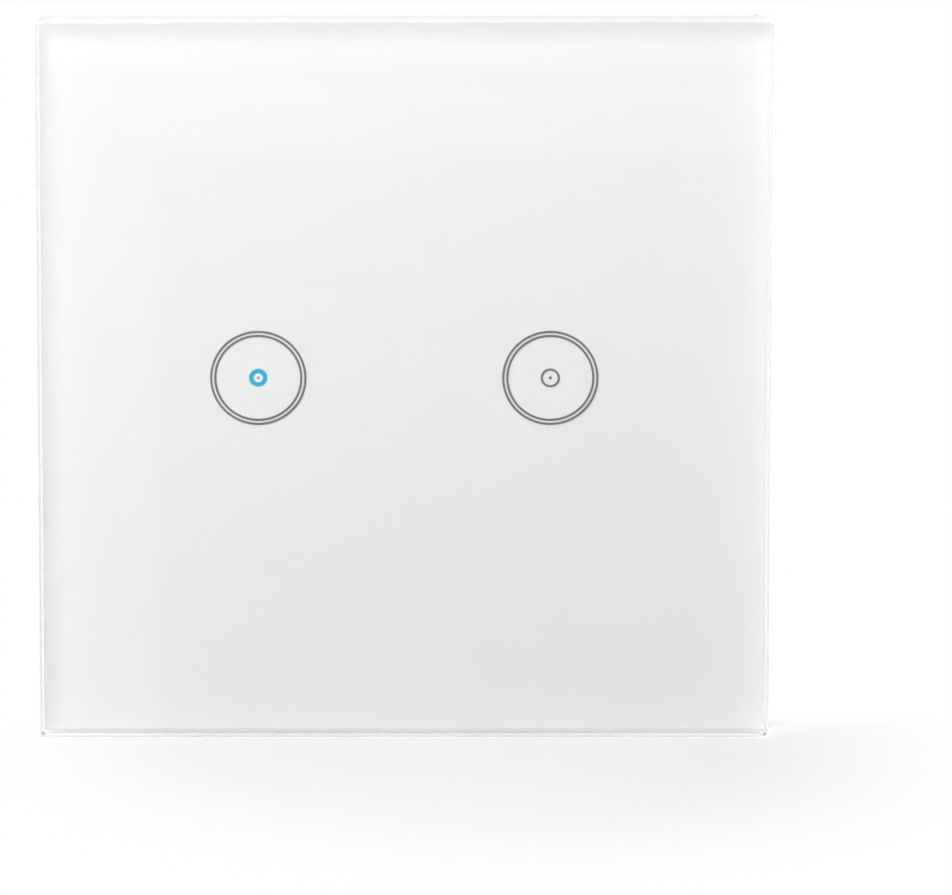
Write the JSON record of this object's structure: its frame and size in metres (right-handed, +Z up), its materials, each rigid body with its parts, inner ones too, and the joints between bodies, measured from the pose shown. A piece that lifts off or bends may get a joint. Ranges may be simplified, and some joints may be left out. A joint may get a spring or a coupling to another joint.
{
  "type": "touch light switch",
  "caption": "Flush wall light switch: square clear-fronted white glass panel with two round touch marks, steel fixing plate, and a rear housing with relays and rising-cage screw terminals.",
  "frame": {"origin": "midway between the two wall screws, on the wall's face", "axes": "+X to the right and +Z up as the glass is seen from the front, +Y from the viewer into the wall"},
  "size_m": [0.086, 0.0355, 0.086],
  "materials": {
    "clear_glass": "polished",
    "white_ink": "smooth print seen through glass",
    "lit_window": "diffusing ink, lit from behind",
    "dark_window": "diffusing ink, unlit",
    "foam_tape": "thin white tape",
    "white_moulding": "fine texture",
    "plated_steel": "zinc plated",
    "white_board": "white solder mask",
    "black_chip": "moulded",
    "lamp": "clear resin",
    "black_plug": "moulded",
    "black_foam": "closed foam",
    "spring_steel": "bright wire",
    "green_board": "green solder mask",
    "tinned_can": "tinned",
    "pale_housing": "fine texture",
    "zinc_screw": "zinc plated",
    "ferrite": "sintered",
    "yellow_tape": "wound tape",
    "can_sleeve": "shrink sleeve",
    "yellow_box": "moulded box",
    "blue_disc": "dipped lacquer",
    "grey_lacquer": "lacquer",
    "relay_black": "moulded",
    "relay_cream": "moulded",
    "soft_iron": "plated iron",
    "copper_coil": "wound wire",
    "brass": "rolled",
    "grey_block": "moulded",
    "cage_steel": "zinc plated"
  },
  "bodies": {
    "chassis": {"board_header": "black_plug", "board_socket": "black_plug", "bulk_capacitors": "can_sleeve", "film_capacitor": "yellow_box", "fuse_resistor": "grey_lacquer", "housing_screws": "zinc_screw", "light_shroud_left": "black_foam", "light_shroud_right": "black_foam", "power_board": "green_board", "power_chip": "black_chip", "rear_housing": "pale_housing", "relay_1_base": "relay_cream", "relay_1_case": "relay_black", "relay_1_coil": "copper_coil", "relay_1_contacts": "brass", "relay_1_yoke": "soft_iron", "relay_2_base": "relay_cream", "relay_2_case": "relay_black", "relay_2_coil": "copper_coil", "relay_2_contacts": "brass", "relay_2_yoke": "soft_iron", "status_leds": "lamp", "support_plate": "plated_steel", "terminal_blades": "brass", "terminal_block": "grey_block", "touch_board": "white_board", "touch_chips": "black_chip", "touch_spring_left": "spring_steel", "touch_spring_right": "spring_steel", "touch_tray": "white_moulding", "transformer_core": "ferrite", "transformer_winding": "yellow_tape", "varistor": "blue_disc", "wifi_board": "green_board", "wifi_shield": "tinned_can"},
    "front_panel": {"glass_panel": "clear_glass", "back_print": "white_ink", "light_window_left": "lit_window", "light_window_right": "dark_window", "panel_tape": "foam_tape", "panel_frame": "white_moulding"},
    "relay_1_armature": {"relay_1_armature": "soft_iron"},
    "relay_2_armature": {"relay_2_armature": "soft_iron"},
    "terminal_screw_1": {"terminal_screw_1": "zinc_screw"},
    "terminal_cage_1": {"terminal_cage_1": "cage_steel"},
    "terminal_screw_2": {"terminal_screw_2": "zinc_screw"},
    "terminal_cage_2": {"terminal_cage_2": "cage_steel"},
    "terminal_screw_3": {"terminal_screw_3": "zinc_screw"},
    "terminal_cage_3": {"terminal_cage_3": "cage_steel"},
    "terminal_screw_4": {"terminal_screw_4": "zinc_screw"},
    "terminal_cage_4": {"terminal_cage_4": "cage_steel"}
  },
  "joints": [
    {"name": "panel_pull", "type": "slide", "parent": "chassis", "child": "front_panel", "axis": [0, -1, 0], "range_m": [0, 0.025]},
    {"name": "relay_1_swing", "type": "hinge", "parent": "chassis", "child": "relay_1_armature", "pos_m": [-0.0184, 0.01715, -0.005], "axis": [0, 0, -1], "range_deg": [0, 3.2], "stiffness_Nm_per_rad": 0.01},
    {"name": "relay_2_swing", "type": "hinge", "parent": "chassis", "child": "relay_2_armature", "pos_m": [0.0036, 0.01715, -0.005], "axis": [0, 0, -1], "range_deg": [0, 3.2], "stiffness_Nm_per_rad": 0.01},
    {"name": "terminal_screw_1_turn", "type": "hinge", "parent": "chassis", "child": "terminal_screw_1", "pos_m": [-0.0105, 0.0178, -0.0176], "axis": [0, -1, 0], "range_deg": [0, 1584.5]},
    {"name": "terminal_cage_1_lift", "type": "slide", "parent": "chassis", "child": "terminal_cage_1", "axis": [0, 1, 0], "range_m": [0, 0.0022]},
    {"name": "terminal_screw_2_turn", "type": "hinge", "parent": "chassis", "child": "terminal_screw_2", "pos_m": [-0.0035, 0.0178, -0.0176], "axis": [0, -1, 0], "range_deg": [0, 1584.5]},
    {"name": "terminal_cage_2_lift", "type": "slide", "parent": "chassis", "child": "terminal_cage_2", "axis": [0, 1, 0], "range_m": [0, 0.0022]},
    {"name": "terminal_screw_3_turn", "type": "hinge", "parent": "chassis", "child": "terminal_screw_3", "pos_m": [0.0035, 0.0178, -0.0176], "axis": [0, -1, 0], "range_deg": [0, 1584.5]},
    {"name": "terminal_cage_3_lift", "type": "slide", "parent": "chassis", "child": "terminal_cage_3", "axis": [0, 1, 0], "range_m": [0, 0.0022]},
    {"name": "terminal_screw_4_turn", "type": "hinge", "parent": "chassis", "child": "terminal_screw_4", "pos_m": [0.0105, 0.0178, -0.0176], "axis": [0, -1, 0], "range_deg": [0, 1584.5]},
    {"name": "terminal_cage_4_lift", "type": "slide", "parent": "chassis", "child": "terminal_cage_4", "axis": [0, 1, 0], "range_m": [0, 0.0022]}
  ],
  "couplings": [
    {"joint": "terminal_screw_1_turn", "follows": "terminal_cage_1_lift", "rad_per_m": 12566},
    {"joint": "terminal_screw_2_turn", "follows": "terminal_cage_2_lift", "rad_per_m": 12566},
    {"joint": "terminal_screw_3_turn", "follows": "terminal_cage_3_lift", "rad_per_m": 12566},
    {"joint": "terminal_screw_4_turn", "follows": "terminal_cage_4_lift", "rad_per_m": 12566}
  ]
}
